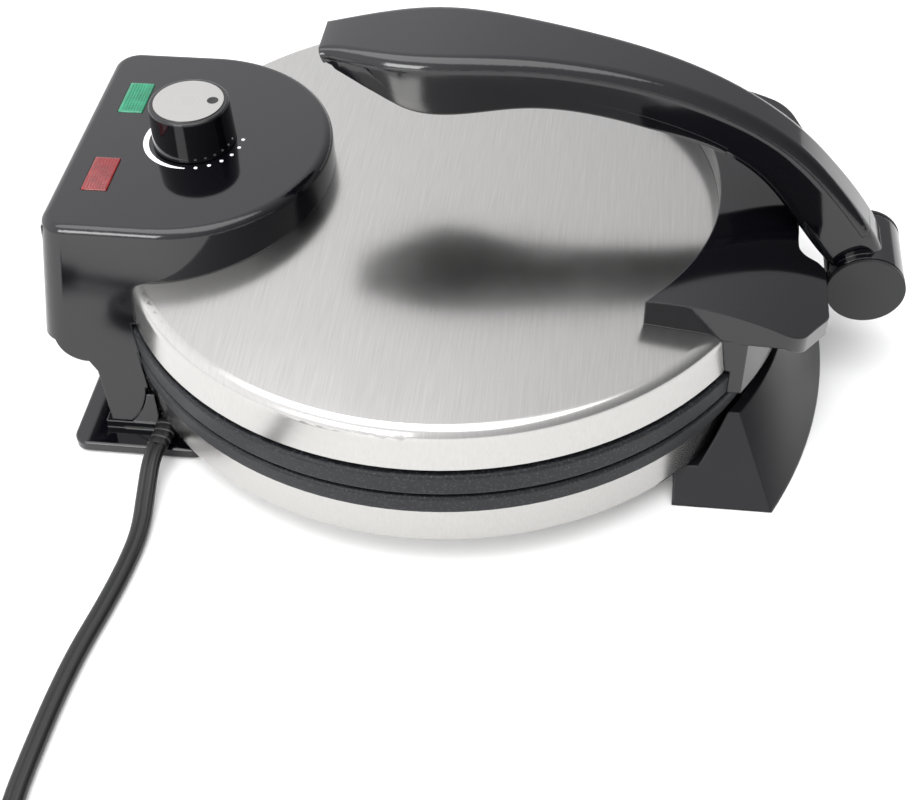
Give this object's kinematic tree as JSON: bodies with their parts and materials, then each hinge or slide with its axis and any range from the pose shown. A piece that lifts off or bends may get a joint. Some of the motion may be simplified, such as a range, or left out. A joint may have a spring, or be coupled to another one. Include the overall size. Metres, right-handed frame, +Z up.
{
  "type": "electric roti maker",
  "caption": "Electric griddle press with two heated round plates, a hinged domed lid with control housing, and a long fold-over handle at the front.",
  "frame": {"origin": "bottom centre of the appliance's bounding box, without its cord, on the standing surface", "axes": "+X from the lid's hinge towards the handle's pivot, +Z up"},
  "size_m": [0.4578, 0.4626, 0.1413],
  "materials": {
    "brushed_stainless": "brushed",
    "coated_cast_aluminium": "textured dark coating",
    "element_steel": "oxidised",
    "shield_aluminium": "plain sheet",
    "gloss_black_plastic": "polished",
    "matt_black_plastic": "matt",
    "green_lens": "clear ribbed",
    "red_lens": "clear ribbed",
    "silver_cap": "spun satin",
    "zinc_steel": "zinc plated",
    "black_rubber": "matt",
    "cord_rubber": "soft satin"
  },
  "bodies": {
    "base": {"base_pan": "brushed_stainless", "lower_plate": "coated_cast_aluminium", "lower_element": "element_steel", "lower_heat_shield": "shield_aluminium", "lower_shield_screws": "zinc_steel", "rear_foot": "gloss_black_plastic", "front_foot": "gloss_black_plastic", "rubber_pads": "black_rubber", "foot_screws": "zinc_steel", "hinge_pins": "zinc_steel", "cord_grommet": "black_rubber", "power_cord": "cord_rubber", "cord_coil": "cord_rubber", "cord_tail": "cord_rubber", "power_plug": "cord_rubber", "plug_blades": "zinc_steel"},
    "lid": {"lid_cover": "brushed_stainless", "lid_ring": "matt_black_plastic", "upper_plate": "coated_cast_aluminium", "upper_element": "element_steel", "upper_heat_shield": "shield_aluminium", "upper_shield_screws": "zinc_steel", "lid_screws": "zinc_steel", "hinge_housing": "gloss_black_plastic", "housing_screws": "zinc_steel", "front_bracket": "gloss_black_plastic", "bracket_screws": "zinc_steel", "green_lens": "green_lens", "red_lens": "red_lens", "lamp_holders": "matt_black_plastic", "thermostat": "zinc_steel", "handle_pin": "zinc_steel"},
    "knob": {"thermostat_knob": "gloss_black_plastic", "knob_cap": "silver_cap", "thermostat_spindle": "zinc_steel"},
    "handle": {"handle_body": "gloss_black_plastic", "handle_cover": "gloss_black_plastic", "barrel_caps": "gloss_black_plastic"}
  },
  "joints": [
    {"name": "lid_hinge", "type": "hinge", "parent": "base", "child": "lid", "pos_m": [-0.14405, 0, 0.024], "axis": [0, -1, 0], "range_deg": [0, 95]},
    {"name": "handle_pivot", "type": "hinge", "parent": "lid", "child": "handle", "pos_m": [0.14885, 0, 0.04525], "axis": [0, 1, 0], "range_deg": [0, 120]},
    {"name": "knob_turn", "type": "hinge", "parent": "lid", "child": "knob", "pos_m": [-0.11295, 0, 0.0887], "axis": [0, 0, 1], "range_deg": [-114, 156]}
  ]
}
